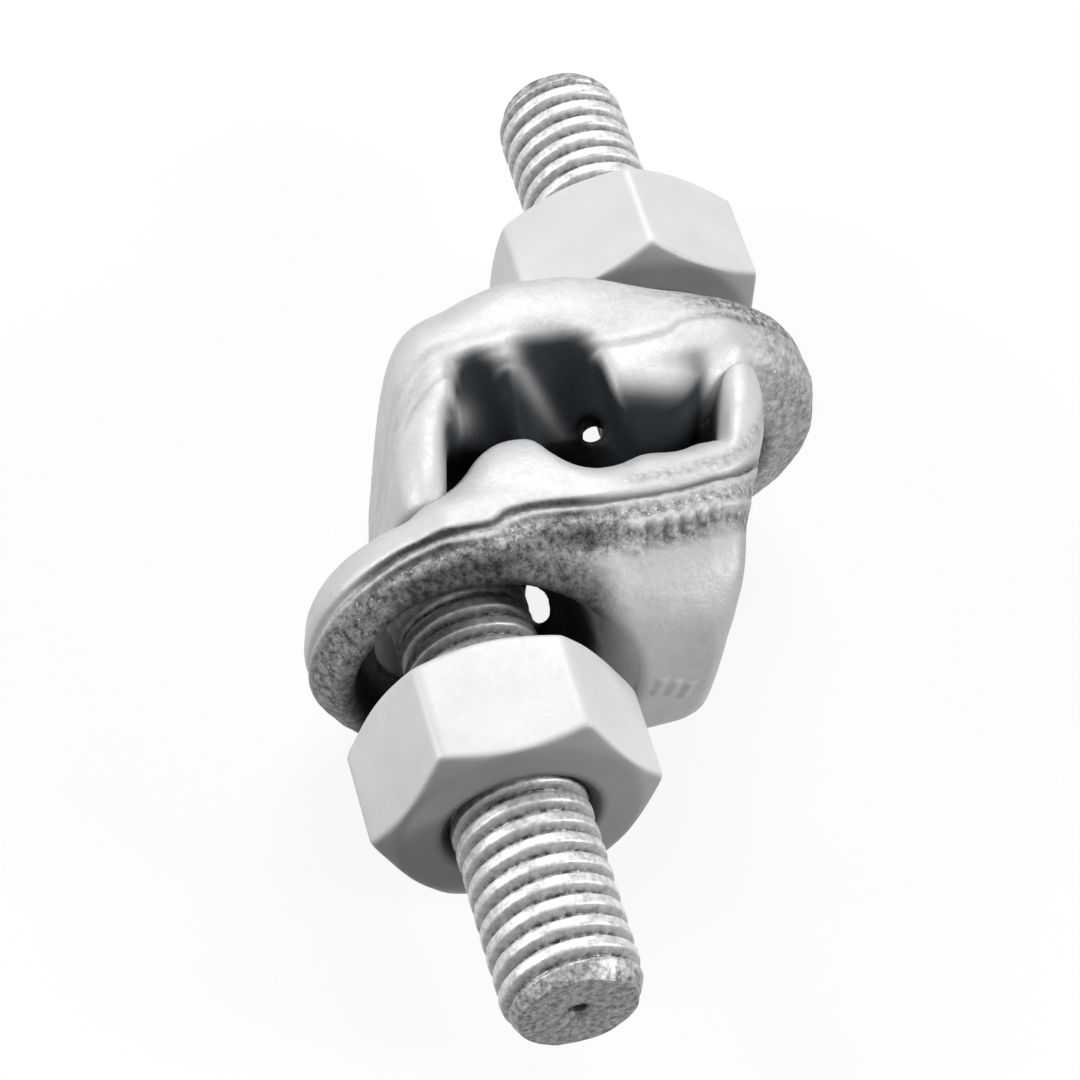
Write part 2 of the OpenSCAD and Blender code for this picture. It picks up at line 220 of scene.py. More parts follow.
def polygon_field(u, v, corners):
    """Signed distance from a closed polygon, negative inside."""
    nearest, inside = np.inf, False
    for (au, av), (bu, bv) in zip(corners, corners[1:] + corners[:1]):
        du, dv = bu - au, bv - av
        t = np.clip(((u - au) * du + (v - av) * dv) / (du * du + dv * dv), 0, 1)
        nearest = np.minimum(nearest, (u - au - du * t) ** 2 + (v - av - dv * t) ** 2)
        if dv:
            inside = inside ^ (((av > v) != (bv > v)) & (u < du * (v - av) / dv + au))
    return np.where(inside, -1, 1) * np.sqrt(nearest)


LATTICE = np.random.RandomState(SEED).rand(4096)


def noise(points, size, seed=0):
    """Smooth noise from -1 to 1 with features about size across."""
    p = points / size + seed * 17.3
    cell = np.floor(p).astype(np.int64)
    t = p - cell
    t = t * t * (3 - 2 * t)
    total = 0
    for corner in np.ndindex(2, 2, 2):
        c = cell + corner
        key = (c[:, 0] * 73856093 ^ c[:, 1] * 19349663 ^ c[:, 2] * 83492791) % len(LATTICE)
        weight = np.prod(np.where(corner, t, 1 - t), axis=1)
        total = total + weight * LATTICE[key]
    return 2 * total - 1


# ---- surfaces from fields ----


def surface_net(field, low, high, step):
    """Points and quads of the surface where field is zero, inside the box from low to high."""
    axes = [np.arange(a, b + step, step) for a, b in zip(low, high)]
    values = field(*np.meshgrid(*axes, indexing="ij", sparse=True))
    solid = values < 0
    filled = sum(
        solid[i : solid.shape[0] - 1 + i, j : solid.shape[1] - 1 + j, k : solid.shape[2] - 1 + k].astype(int)
        for i, j, k in np.ndindex(2, 2, 2)
    )
    active = (filled > 0) & (filled < 8)
    cells = np.argwhere(active)
    number = np.full(active.shape, -1)
    number[active] = np.arange(len(cells))
    total, hits = np.zeros((len(cells), 3)), np.zeros(len(cells))
    for axis in range(3):
        along = np.eye(3, dtype=int)[axis]
        for pair in np.ndindex(2, 2):
            start = np.insert(pair, axis, 0)
            a, b = cells + start, cells + start + along
            fa, fb = values[tuple(a.T)], values[tuple(b.T)]
            cut = (fa < 0) != (fb < 0)
            t = np.where(cut, fa / np.where(cut, fa - fb, 1), 0)
            total += np.where(cut[:, None], start + t[:, None] * along, 0)
            hits += cut
    points = (cells + total / hits[:, None]) * step + low
    quads = []
    for axis in range(3):
        along, u, v = (np.eye(3, dtype=int)[(axis + i) % 3] for i in range(3))
        last = np.array(solid.shape) - along
        here = solid[: last[0], : last[1], : last[2]]
        there = solid[along[0] :, along[1] :, along[2] :]
        edges = np.argwhere(here != there)
        edges = edges[np.all(edges >= u + v, axis=1) & np.all(edges < np.array(active.shape), axis=1)]
        quad = np.stack([number[tuple((edges - w).T)] for w in (u + v, v, 0 * u, u)], axis=1)
        outward = here[tuple(edges.T)]
        quads.append(np.where(outward[:, None], quad, quad[:, ::-1]))
    return points, np.concatenate(quads)


def slope_of(field, points, reach=0.03):
    """Gradient of a field at some points."""
    parts = []
    for axis in np.eye(3) * reach:
        parts.append(field(*(points + axis).T) - field(*(points - axis).T))
    return np.stack(parts, axis=1) / (2 * reach)


def settle(field, points, quads, step, rounds=3):
    """Evens out a net's points and moves them onto the field's surface."""
    for last in [False] * rounds + [True]:
        if not last:
            total, count = np.zeros_like(points), np.zeros(len(points))
            for i in range(4):
                np.add.at(total, quads[:, i], points[quads[:, i - 1]])
                np.add.at(count, quads[:, i], 1)
            points = 0.5 * points + 0.5 * total / count[:, None]
        for _ in range(2):
            slope = slope_of(field, points)
            size = np.maximum((slope**2).sum(axis=1), 0.05)
            move = (field(*points.T) / size)[:, None] * slope
            points = points - np.clip(move, -step / 2, step / 2)
    return points


def make_mesh(name, points, faces, place):
    """A smooth mesh object from points in millimetres, put in place by a matrix."""
    mesh = bpy.data.meshes.new(name)
    moved = np.c_[points, np.ones(len(points))] @ np.array(place).T
    mesh.from_pydata((moved[:, :3] * MM).tolist(), [], [list(f) for f in faces])
    mesh.validate()
    mesh.update()
    mesh.polygons.foreach_set("use_smooth", [True] * len(mesh.polygons))
    obj = bpy.data.objects.new(name, mesh)
    bpy.context.collection.objects.link(obj)
    return obj


def write_mask(obj, name, values):
    """Keeps a value for each point, which the materials read."""
    obj.data.attributes.new(name, "FLOAT", "POINT").data.foreach_set("value", values)


def mark_front_shade(obj):
    """Writes painted shade on faces towards -Y, as how far each point's surface faces -Y, where the piece has
    no such mask of its own.
    """
    mesh = obj.data
    if "front_shade" in mesh.attributes:
        return
    normals = np.zeros(len(mesh.vertices) * 3)
    mesh.vertex_normals.foreach_get("vector", normals)
    write_mask(obj, "front_shade", ramp(-normals.reshape(-1, 3)[:, 1], 0.2, 0.9))


def clean(obj, distance=0.004):
    """Joins points that coincide and drops faces with no area."""
    work = bmesh.new()
    work.from_mesh(obj.data)
    bmesh.ops.remove_doubles(work, verts=work.verts, dist=distance * MM)
    bmesh.ops.dissolve_degenerate(work, edges=work.edges, dist=distance * MM / 4)
    bmesh.ops.recalc_face_normals(work, faces=work.faces)
    work.to_mesh(obj.data)
    work.free()


def place_half(far):
    """Matrix that puts a half's own frame into the clip's frame."""
    return Matrix.Translation((0, 0, HALF)) @ Matrix.Rotation(math.pi if far else 0, 4, "Z")


# ---- forged saddle ----

# Each of these is a field that is negative inside. In them az is the distance from the half's middle plane,
# below is the depth under the parting line, and from_eye and from_stud are the distances from the two axes.


def lug_field(r, y):
    """Solid lug without its eye, about its own axis."""
    return polygon_field(r, y, LUG_CORE) - LUG_ROUND


def side_width(below, fullness, draft):
    """Half the width of the forging under its parting line: flange, hollow and rounded back."""
    flange = SIDE - (0.1 * np.maximum(below, 0) + 1.0 * ramp(below, 1.8, 3.8)) * draft
    t = np.clip((below - CREST_AT) / (BACK_BELOW_PARTING - CREST_AT), 0, 1)
    return flange * (1 - t**fullness) ** (1 / fullness)


def upper_flank(half, x, y, az, parting):
    """Sides over the parting line: an ellipse, with a bevelled lip on the far half from ear to lug."""
    top = curve(x, TOP_LINE) + 0.6 * ramp(az, 5.5, 8.5) * bell(x, EAR_X, 1.4)
    start = HALF - SHOULDER + 0.9 * ramp(x, 9.4, 12.4)
    height = top - parting
    across = np.maximum(az - start, 0) / (SIDE - start)
    up = np.maximum(y - parting, 0) / height
    share = np.sqrt(across**2 + up**2) + 1e-4
    steep = np.sqrt((across / (SIDE - start)) ** 2 + (up / height) ** 2) + 1e-4
    ellipse = np.where(share < 0.05, -2.5, (share - 1) * share / steep)
    if not half.far:
        return ellipse
    bevel = 3.2 * (1 - 0.45 * ramp(x, -4, -9))
    slant = ((az - HALF + bevel) * 3.9 + (y - top) * 2.8) / 4.8
    lip = smooth_max(smooth_max(az - SIDE, slant, 1.8), (y - top) * 0.7, 1.4)
    return ellipse + (lip - ellipse) * ramp(x, 9.5, 7)


def lower_flank(half, x, az, below, reach=0.02):
    """Sides under the parting line, as a distance across the slope."""
    towards_eye = ramp(x, 7, 1.5)
    fullness = half.fullness + half.fullness_gain * towards_eye
    draft = half.draft - half.draft_loss * towards_eye
    width = side_width(below, fullness, draft)
    lean = (side_width(below + reach, fullness, draft) - width) / reach
    return (az - width) / np.sqrt(1 + lean**2)


def flange_lines(half, x, az, from_eye, below):
    """Height of the bead, the groove over it and the crest at the flange's low edge."""
    bead = BEAD_HEIGHT * bell(below, BEAD_AT, BEAD_WIDTH)
    groove = GROOVE_DEPTH * bell(below, GROOVE_AT, GROOVE_WIDTH)
    lines = bead - groove + CREST_HEIGHT * bell(below, CREST_AT, CREST_WIDTH) * ramp(x, -1, 1.5)
    along_side = ramp(az, 7.5, 9) * ramp(x, -12, -9) * ramp(x, 13.5, 12)
    round_lug = ramp(from_eye, 9.2, 10.2) * ramp(x, -9, -12)
    return lines * np.clip(along_side + round_lug, 0, 1) * half.lines


def rope_seat(half, x, y, az, parting, shift=0.8):
    """Groove for the rope, which falls away at its mouths, in a round or in the far half's straight slope."""
    length = half.mouth_length
    fall = np.clip((az - HALF + length) / (length + 0.2), 0, 1)
    drop = fall if half.far else 1 - np.sqrt(1 - fall**2)
    r = SEAT_R + half.mouth_flare * fall
    bottom = SEAT_Y - SEAT_R
    floor = bottom + (parting - half.mouth_drop - bottom) * drop
    sx, sy = x - shift * fall, y - floor - r
    return np.where(sy > 0, np.abs(sx), np.sqrt(sx**2 + sy**2)) - r


def pocket(x, y, az):
    """Hollow between the seat and the ear, open to the side, with a sloping floor."""
    floor = (y + POCKET_DEPTH - POCKET_SLOPE * (HALF - az)) * 0.55
    return smooth_max(np.abs(x - POCKET_X) - POCKET_HALF_WIDTH, -floor, 1.9)


def eye_cuts(half, x, y, z, from_eye):
    """Eye, the dished recess and relief round it, the scoop beside it and the gap into the seat."""
    az = np.abs(z)
    recess_r = RECESS_R + 0.42 * np.maximum(RECESS_Y - y, 0) + 0.9 * ramp(az, 3, 8)
    recess = smooth_max(from_eye - recess_r, y - RECESS_Y, 1.6)
    relief_r = half.relief_r + 0.9 * np.maximum(RELIEF_Y - y, 0)
    relief = smooth_max((from_eye - relief_r) * 0.75, y - RELIEF_Y, 1.2)
    relief = np.maximum(relief, from_eye - RELIEF_LIMIT_R)
    reach_x, reach_y, reach_z = SCOOP_REACH
    scoop = np.sqrt(((x - SCOOP_X) / reach_x) ** 2 + ((y - SCOOP_Y) / reach_y) ** 2 + (z / reach_z) ** 2)
    gx, gy, gz = x - GAP_AT[0], y - GAP_AT[1], az - GAP_AT[2]
    along, across, rise = (a * gx + b * gy + c * gz for a, b, c in (GAP_ALONG, GAP_ACROSS, GAP_RISE))
    oval = np.sqrt((across / GAP_HALF_WIDTH) ** 2 + ((rise + half.gap_drop) / half.gap_height) ** 2)
    gap = np.maximum((oval - 1) * GAP_HALF_WIDTH, np.abs(along) - GAP_HALF_LENGTH)
    cuts = np.minimum(np.minimum(from_eye - EYE_R, recess), np.minimum(relief, (scoop - 1) * 1.2))
    return np.minimum(cuts, gap)


def stud_root(half, x, y, from_stud):
    """Plain root of the stud, kept inside the outer wall where the two meet."""
    shank = np.maximum(np.maximum(from_stud - STUD_R + 0.03, y - 4.5), -2.5 - y)
    return np.maximum(shank, x - curve(y, half.wall) - 0.3 * ramp(y, 1, 3))


def saddle_field(half):
    """The field of one forged half."""
    outline = [(x, y) for y, x in half.wall[::-1]] + half.web + [INNER_END]

    def field(x, y, z):
        az = np.abs(z)
        parting = curve(x, PARTING_LINE)
        below = parting - y
        from_eye = np.sqrt((x + STUD_X) ** 2 + z**2)
        from_stud = np.sqrt((x - STUD_X) ** 2 + z**2)
        # J-shaped body
        upper = upper_flank(half, x, y, az, parting)
        flank = upper + (lower_flank(half, x, az, below) - upper) * ramp(below, -0.8, 0.8)
        body = smooth_max(polygon_field(x, y, outline), flank, 1.6)
        # rounded corner between the side and the outer wall, then the back's round
        corner = np.where(z < 0, half.low_corner_r, CORNER_R)
        cx, cz = x - curve(y, half.wall) + corner, az - SIDE + corner
        rounded = np.sqrt(np.maximum(cx, 0) ** 2 + np.maximum(cz, 0) ** 2) - corner
        body = smooth_max(body, rounded, 0.8)
        cone = (np.sqrt(x**2 + z**2) - BACK_CONE_R - 0.8 * (y + BACK)) * 0.78
        body = smooth_max(body, cone, 2.5)
        # lug, flange lines and the flat that the clip lies on
        body = smooth_min(body, lug_field(from_eye, y), 1.8)
        body = body - flange_lines(half, x, az, from_eye, below)
        body = smooth_max(body, az - HALF + 0.05, 0.3)
        # what is cut away
        body = smooth_max(body, -rope_seat(half, x, y, az, parting), half.seat_edge)
        if half.far:
            body = smooth_max(body, -pocket(x, y, az), 1.2)
        body = smooth_max(body, -eye_cuts(half, x, y, z, from_eye), 0.7)
        # bed of the other half's lug, then the root of the stud
        body = smooth_max(body, -(lug_field(from_stud, -y) - LUG_BED_GAP), 0.8)
        return smooth_min(body, stud_root(half, x, y, from_stud), 0.9)

    return field


def worn_bar(across, along, half_width, half_length):
    """1 on a bar and 0 beside it, with sloping edges."""
    return ramp(half_width - np.abs(across), 0, 0.28) * ramp(half_length - np.abs(along), 0, 0.3)


def raised_marks(points):
    """Height of the plain raised bars on the near half's side and low on its back."""
    x, y, z = points.T
    side = [worn_bar(x - at - 0.15 * (y + 9.4), y + 9.7 - 0.27 * at, 0.5, 0.95) for at in BARS_X]
    low = [worn_bar(x - at - 0.2 * z, z + 0.4 * at - 1.2, 0.45, 1.0) for at in LOW_BARS_X]
    return BAR_HEIGHT * np.max(side, axis=0) * (z > 6) + LOW_BAR_HEIGHT * np.max(low, axis=0) * (y < -13)


def grain_and_highlight_mask(half, x, below):
    """How coarse the zinc is: smooth over the parting line, and coarse on the flange under it, with paler
    lines along the bead and the low crest as painted highlights.
    """
    grain_and_highlight = ramp(below, 0.2, 0.7) * (1 - 0.9 * ramp(below, 3.2, 4.6) * ramp(x, -5, -1))
    # painted highlights: the zinc is made less coarse along the bead and the low crest, which leaves paler
    # lines there
    grain_and_highlight = grain_and_highlight * (1 - 0.1 * ramp(x, -2, 3)) * (1 - 0.6 * bell(below, BEAD_AT, 0.35))
    grain_and_highlight = grain_and_highlight * (1 - 0.8 * bell(below, CREST_AT, 0.35) * ramp(x, -1, 1.5))
    if half.far:
        grain_and_highlight = grain_and_highlight * (0.25 + 0.75 * ramp(x, -8, -12)) + 0.7 * ramp(x, -12, -16)
        grain_and_highlight = np.clip(grain_and_highlight, 0, 1)
    return grain_and_highlight


def cavity_shade_mask(half, points, below, normal):
    """Painted shade on the forging: in its seats, in the lug's dish and in the groove along the flange."""
    x, y, z = points.T
    az = np.abs(z)
    inside = ramp(HALF - az, *half.cavity_rim) * ramp(-below, half.cavity_floor, 0.5)
    inside = inside * ramp(x, 11.5, 9) * ramp(x, -10.5, -8.5)
    from_eye = np.sqrt((x + STUD_X) ** 2 + z**2)
    dish = ramp(9.2 + 0.8 * ramp(az, 3, 8) - from_eye, 0, 1.2) * ramp(below, 0, 1.5) * ramp(y, -12.2, -11.3)
    groove = 0.8 * bell(below, GROOVE_AT, 0.22) * ramp(az, 6, 8) * half.groove_tone * ramp(x, 13, 11)
    if half.far:
        # painted shade on low faces that turn towards +Y, which face -Y in the clip, but less so on the
        # pocket's rib and lifted at a spot by the ear as a painted highlight
        turned = ramp(normal[:, 1], 0.02, 0.5) * ramp(y + 0.5 * noise(points, 2.5, 41), -9.8, -7.8)
        turned = turned * ramp(x, -10.5, -8.5) * ramp(x, 10.5, 8.5)
        rib = bell(x - 4.3 + 0.75 * (HALF - az), 0, 0.6) * ramp(az, 4, 10)
        wear_and_lit_spot = np.exp(-((x - LIT_SPOT_X) ** 2 + (y - LIT_SPOT_Y) ** 2 + (az - LIT_SPOT_Z) ** 2) / 1.3)
        inside = np.maximum(inside, turned) * (1 - 0.3 * rib) * (1 - 0.8 * wear_and_lit_spot)
    return np.maximum(np.maximum(inside, dish), groove)


def front_shade_mask(half, points, below, normal):
    """Painted shade on the near half: how far each point faces -Y, and some over its low side. The far half
    has none.
    """
    if half.far:
        return np.zeros(len(points))
    x, y = points.T[:2]
    front_shade = ramp(-normal[:, 1], 0.0, 0.7) * ramp(x, 0.7, -3) * (0.22 + 0.78 * ramp(x, -19, -14))
    return np.maximum(front_shade, 0.3 * ramp(below, 1.5, 4) * ramp(x, -3, 1) * ramp(y, -14, -10))


def forge(name, half):
    """One forged half with its dents, pits and raised bars, and the masks that its material reads."""
    field = saddle_field(half)
    points, quads = surface_net(field, BOX_LOW, BOX_HIGH, NET_STEP)
    points = settle(field, points, quads, NET_STEP)
    normal = slope_of(field, points)
    normal /= np.linalg.norm(normal, axis=1)[:, None]
    x, y, z = points.T
    below = curve(x, PARTING_LINE) - y
    grain_and_highlight = grain_and_highlight_mask(half, x, below)
    dents = 0.07 * noise(points, 4.5, half.seed) + 0.03 * noise(points, 1.7, half.seed + 1)
    pits = (0.012 + 0.035 * grain_and_highlight) * noise(points, 0.6, half.seed + 2)
    marks = 0
    if not half.far:
        marks = raised_marks(points)
        # coarse zinc without pits just over the parting line
        grain_and_highlight = grain_and_highlight + 0.55 * bell(below, -0.9, 0.7) * ramp(x, -1, 3) * ramp(np.abs(z), 7, 9)
    points = points + (dents + pits + marks)[:, None] * normal
    obj = make_mesh(name, points, quads, place_half(half.far))
    write_mask(obj, "grain_and_highlight", grain_and_highlight)
    write_mask(obj, "cavity_shade", cavity_shade_mask(half, points, below, normal))
    write_mask(obj, "front_shade", front_shade_mask(half, points, below, normal))
    return obj


# ---- threaded stud ----


def thread_profile(phase):
    """Share of the thread depth that is cut away: 0 on the crest and 1 at the root, both rounded."""
    t = np.abs(phase - np.floor(phase) - 0.5) * 2
    return 1 - ramp(t, 0.0, 0.6)


def stud_radius(angle, y):
    """Radius of the stud's surface at an angle about its axis and a distance from the clip's middle."""
    depth = THREAD_DEPTH * ramp(y, THREAD_START, THREAD_START + THREAD_RUN_IN)
    r = STUD_R - depth * thread_profile(y / PITCH - angle / TURN)
    cone = STUD_R - TIP_BEVEL * (y - STUD_REACH + TIP_CONE) / TIP_CONE
    return smooth_min(r, cone, 0.25)


def around_stud(r, angle, y):
    """Points at a radius, an angle and a height on the stud's axis."""
    spots = np.broadcast_arrays(STUD_X + r * np.cos(angle), y, -r * np.sin(angle))
    return np.stack(spots, axis=-1).reshape(-1, 3)


def stud_shank(segments, rows):
    """Rows of points that follow the helix, their faces, and how deep each point lies in the thread."""
    low = STUD_ROOT_Y
    count = int(((STUD_REACH - low) / PITCH + 2) * rows)
    k, i = np.meshgrid(np.arange(count), np.arange(segments), indexing="ij")
    angle = TURN * i / segments
    y = np.clip(low + PITCH * ((k - rows) / rows + i / segments), low, STUD_REACH)
    root = ramp(thread_profile(y / PITCH - angle / TURN), 0.5, 0.9)
    root = root * ramp(y, THREAD_START, THREAD_START + PITCH) * ramp(y, STUD_REACH - 1, STUD_REACH - 1.4)
    faces = []
    for row in range(count - 1):
        for col in range(segments):
            # the last column meets the first one a pitch further on
            next_row, next_col = (row, col + 1) if col < segments - 1 else (row + rows, 0)
            if next_row + 1 < count:
                a, b = row * segments + col, next_row * segments + next_col
                faces.append((a, b, b + segments, a + segments))
    return around_stud(stud_radius(angle, y), angle, y), faces, root.reshape(-1)


def stud_end(segments, first):
    """Points of the worn end and its centre hole, and their faces, with first as the first point's number."""
    angle = TURN * np.arange(segments) / segments
    rim = stud_radius(angle, np.full(segments, STUD_REACH))
    rings = [(rim * share, STUD_REACH - END_DISH * (1 - share) ** 2) for share in END_RINGS]
    for share, depth in HOLE_RINGS:
        rings.append((CENTRE_HOLE_R * share, STUD_REACH - HOLE_LIP - CENTRE_HOLE_DEPTH * depth))
    points = np.concatenate([around_stud(r, angle, y) for r, y in rings])
    faces = []
    for ring in range(len(rings) - 1):
        for col in range(segments):
            a = first + ring * segments + col
            b = first + ring * segments + (col + 1) % segments
            faces.append((a, b, b + segments, a + segments))
    floor = first + (len(rings) - 1) * segments
    faces.append(list(range(floor, floor + segments)))
    return points, faces


def make_stud(name, half, segments=96, rows=12):
    """A stud with a helical thread and worn surfaces, closed by an end face with a centre hole."""
    points, faces, root = stud_shank(segments, rows)
    end_points, end_faces = stud_end(segments, len(points))
    root = np.concatenate([root, np.zeros(len(end_points))])
    points = np.concatenate([points, end_points])
    away = points - np.array([STUD_X, 0, 0])
    away[:, 1] = 0
    r = np.maximum(np.linalg.norm(away, axis=1), 1e-6)
    wear = 0.045 * noise(points, 1.3, 21 + half.far) + 0.02 * noise(points, 0.45, 23 + half.far)
    wear = np.where(r > 1.5, np.minimum(wear, STUD_WEAR_LIMIT), 0)
    points = points + away / r[:, None] * wear[:, None]
    end = ramp(points[:, 1], STUD_REACH - 0.6, STUD_REACH - 0.2) * (r > 0.5)
    points[:, 1] -= end * (0.05 + 0.05 * noise(points, 0.9, 27 + half.far))
    y = points[:, 1]
    obj = make_mesh(name, points, faces + end_faces, place_half(half.far))
    write_mask(obj, "hole", ramp((STUD_REACH - 0.2 - y) * (r < CENTRE_HOLE_R * 1.01), 0, 0.3))
    write_mask(obj, "tip", ramp(y, STUD_REACH - 1.9, STUD_REACH - 0.9))
    write_mask(obj, "root", root)
    clean(obj)
    return obj


# ---- hex nut ----


def corner_arc(a, b, c, size, count=4):
    """Points of a small round in place of the corner b between a and c."""
    a, b, c = (np.array(p, float) for p in (a, b, c))
    start = b + (a - b) * np.minimum(size / np.linalg.norm(a - b), 0.45)
    end = b + (c - b) * np.minimum(size / np.linalg.norm(c - b), 0.45)
    t = np.linspace(0, 1, count)[:, None]
    return list((1 - t) ** 2 * start + 2 * t * (1 - t) * b + t**2 * end)


def nut_profile(radius):
    """Half section of a nut as [r, height] points for the column whose side lies at a radius."""
    middle = NUT_HEIGHT / 2
    face = NUT_APOTHEM - NUT_FACE_INSET
    drop = (radius - face) * math.tan(NUT_CHAMFER)
    bore, sink = (NUT_BORE_R, NUT_SINK), (NUT_BORE_R + NUT_SINK, 0)
    ring, shoulder, side = (face, 0), (radius, drop), (radius, middle)
    half = [(NUT_BORE_R, middle), (NUT_BORE_R, 2.2), bore]
    half += corner_arc(bore, sink, ring, 0.15)
    half += [(face - 1.5, 0)]
    half += corner_arc(sink, ring, shoulder, 0.45)
    half += corner_arc(ring, shoulder, side, 0.4, 5)
    half += [(radius, drop + 0.8 * (middle - drop)), side]
    other = [(r, NUT_HEIGHT - height) for r, height in half[-2:0:-1]]
    return np.array([tuple(p) for p in half + other])


def make_nut(name, half, turn, gap, segments=192, sharpness=70):
    """A heavy hex nut against a half's lug, turned by some degrees and a gap away from the lug."""
    angle = TURN * np.arange(segments)[:, None] / segments
    flats = TURN * (np.arange(6) + 0.5) / 6 + math.radians(turn)
    lean = np.maximum(np.cos(angle - flats), 0)
    sides = NUT_APOTHEM / ((lean**sharpness).sum(axis=1) ** (1 / sharpness))
    columns = np.array([nut_profile(side) for side in sides])
    r, height = columns[..., 0], columns[..., 1]
    points = np.stack([r * np.cos(angle), r * np.sin(angle), height], axis=-1).reshape(-1, 3)
    count = columns.shape[1]
    faces = []
    for col in range(segments):
        for row in range(count):
            a, b, after = col * count, (col + 1) % segments * count, (row + 1) % count
            faces.append((a + row, b + row, b + after, a + after))
    away = points / np.maximum(np.linalg.norm(points, axis=1), 1e-6)[:, None]
    outside = np.linalg.norm(points[:, :2], axis=1) > NUT_BORE_R + 0.3
    wear = 0.03 + 0.03 * noise(points, 3.5, 31 + half.far) + 0.012 * noise(points, 1.1, 33 + half.far)
    points = points - away * (wear * outside)[:, None]
    sign = 1 if half.far else -1
    stand = Matrix.Rotation(math.radians(-90 * sign), 4, "X")
    spot = Matrix.Translation((sign * STUD_X, sign * (LUG_FACE + gap), HALF))
    obj = make_mesh(name, points, faces, spot @ stand)
    # painted shadow round the bore, where the stud enters the nut
    write_mask(obj, "bore", 1 - ramp(np.linalg.norm(points[:, :2], axis=1), *BORE_SHADE_R))
    clean(obj)
    return obj


# ---- materials ----


class Nodes:
    """A node tree, with short calls for what this scene uses."""

    def __init__(self, tree):
        self.tree = tree

    def put(self, socket, value):
        """Links a socket to an output, or gives it a plain value."""
        if isinstance(value, bpy.types.NodeSocket):
            self.tree.links.new(value, socket)
        else:
            socket.default_value = value

    def add(self, kind, inputs=None, **settings):
        """A new node with its settings and inputs."""
        node = self.tree.nodes.new(kind)
        for key, value in settings.items():
            setattr(node, key, value)
        for key, value in (inputs or {}).items():
            self.put(node.inputs[key], value)
        return node

    def mask(self, name):
        """A value that was written for each point."""
        return self.add("ShaderNodeAttribute", attribute_name=name).outputs["Fac"]

    def noise(self, size, detail=4, rough=0.55, offset=0):
        """Noise with features about size millimetres across."""
        place = self.add("ShaderNodeTexCoord").outputs["Object"]
        at = self.add("ShaderNodeMapping", {"Vector": place, "Location": (offset, 0, 0)}).outputs[0]
        inputs = {"Vector": at, "Scale": 1 / (size * MM), "Detail": detail, "Roughness": rough}
        return self.add("ShaderNodeTexNoise", inputs).outputs["Fac"]

    def span(self, value, low, high, to_low=0.0, to_high=1.0):
        """A value from low to high, mapped to another span and clamped."""
        inputs = {"Value": value, "From Min": low, "From Max": high, "To Min": to_low, "To Max": to_high}
        return self.add("ShaderNodeMapRange", inputs).outputs[0]

    def math(self, kind, *values):
        """What a Math node works out from its inputs, in their order."""
        return self.add("ShaderNodeMath", dict(enumerate(values)), operation=kind).outputs[0]

    def mix(self, share, a, b):
        """A colour between a and b."""
        node = self.add("ShaderNodeMix", {"Factor": share}, data_type="RGBA")
        self.put(node.inputs[6], a)
        self.put(node.inputs[7], b)
        return node.outputs[2]

    def bump(self, height, strength, distance, normal=None):
        """A normal leaned by a height, on top of another one where there is one."""
        inputs = {"Height": height, "Strength": strength, "Distance": distance * MM}
        if normal is not None:
            inputs["Normal"] = normal
        return self.add("ShaderNodeBump", inputs).outputs[0]

    def seen_plainly(self):
        """1 for rays from the camera and for those that metal or glass sends on, and 0 for the light's."""
        ray = self.add("ShaderNodeLightPath")
        seen = self.math("MAXIMUM", ray.outputs["Is Camera Ray"], ray.outputs["Is Glossy Ray"])
        return self.math("MAXIMUM", seen, ray.outputs["Is Transmission Ray"])

    def surface(self, shader):
        """Makes a shader the material's surface."""
        self.add("ShaderNodeOutputMaterial", {"Surface": shader})

    def zinc(self, colour, rough, metallic, normal, shine=0.5):
        """Makes the material's surface a coated metal."""
        inputs = {"Base Color": colour, "Roughness": rough, "Metallic": metallic, "Normal": normal,
                  "Specular IOR Level": shine}
        self.surface(self.add("ShaderNodeBsdfPrincipled", inputs).outputs[0])


def new_material(name):
    """A material without nodes, and the calls that fill it."""
    material = bpy.data.materials.new(name)
    material.use_nodes = True
    material.node_tree.nodes.clear()
    return material, Nodes(material.node_tree)


def grey(level, warmth=0.0):
    """A neutral colour, a little warmer or cooler."""
    return (level * (1 + warmth), level, level * (1 - warmth), 1)


def forged_zinc():
    """Hot-dip zinc on a forging: smooth in the seats and coarse and speckled outside the parting line, with
    painted shade in the recesses and on faces towards -Y.
    """
    material, m = new_material("forged_zinc")
    grain_and_highlight, cavity_shade, front_shade = m.mask("grain_and_highlight"), m.mask("cavity_shade"), m.mask("front_shade")
    broad = m.noise(5, 3)
    fine = m.noise(0.55, 5, 0.7)
    speck = m.noise(0.28, 3, 0.6, 3)
    smooth = m.mix(m.span(broad, 0.3, 0.7), grey(0.52, -0.015), grey(0.62, -0.015))
    coarse = m.mix(m.span(fine, 0.38, 0.66), grey(0.05, -0.02), grey(0.52, -0.005))
    coarse = m.mix(m.span(speck, 0.62, 0.74), coarse, grey(0.92))
    colour = m.mix(grain_and_highlight, smooth, coarse)
    # painted shade on faces towards -Y, in a dark speckled grey
    dark = m.mix(m.span(fine, 0.38, 0.68), grey(0.01, -0.1), grey(0.12, -0.05))
    colour = m.mix(m.math("MULTIPLY", front_shade, 0.95), colour, dark)
    # painted shade in the seats, the dish and the flange's groove, nearly black
    colour = m.mix(m.math("MULTIPLY", cavity_shade, 0.98), colour, grey(0.012, -0.3))
    # less metal and less shine where shade is painted, so that no reflection shows there
    metal = m.math("MULTIPLY_ADD", cavity_shade, -0.4, 0.4)
    shine = m.span(m.math("MAXIMUM", cavity_shade, m.math("MULTIPLY", front_shade, 0.6)), 0, 1, 0.5, 0.08)
    rough = m.math("ADD", m.span(fine, 0.3, 0.7, 0.46, 0.62), m.math("MULTIPLY", grain_and_highlight, 0.06))
    pitted = m.bump(fine, m.math("MULTIPLY_ADD", grain_and_highlight, 0.5, 0.5), 0.12)
    normal = m.bump(m.noise(1.6, 4), 0.25, 0.15, pitted)
    m.zinc(colour, rough, metal, normal, shine)
    return material


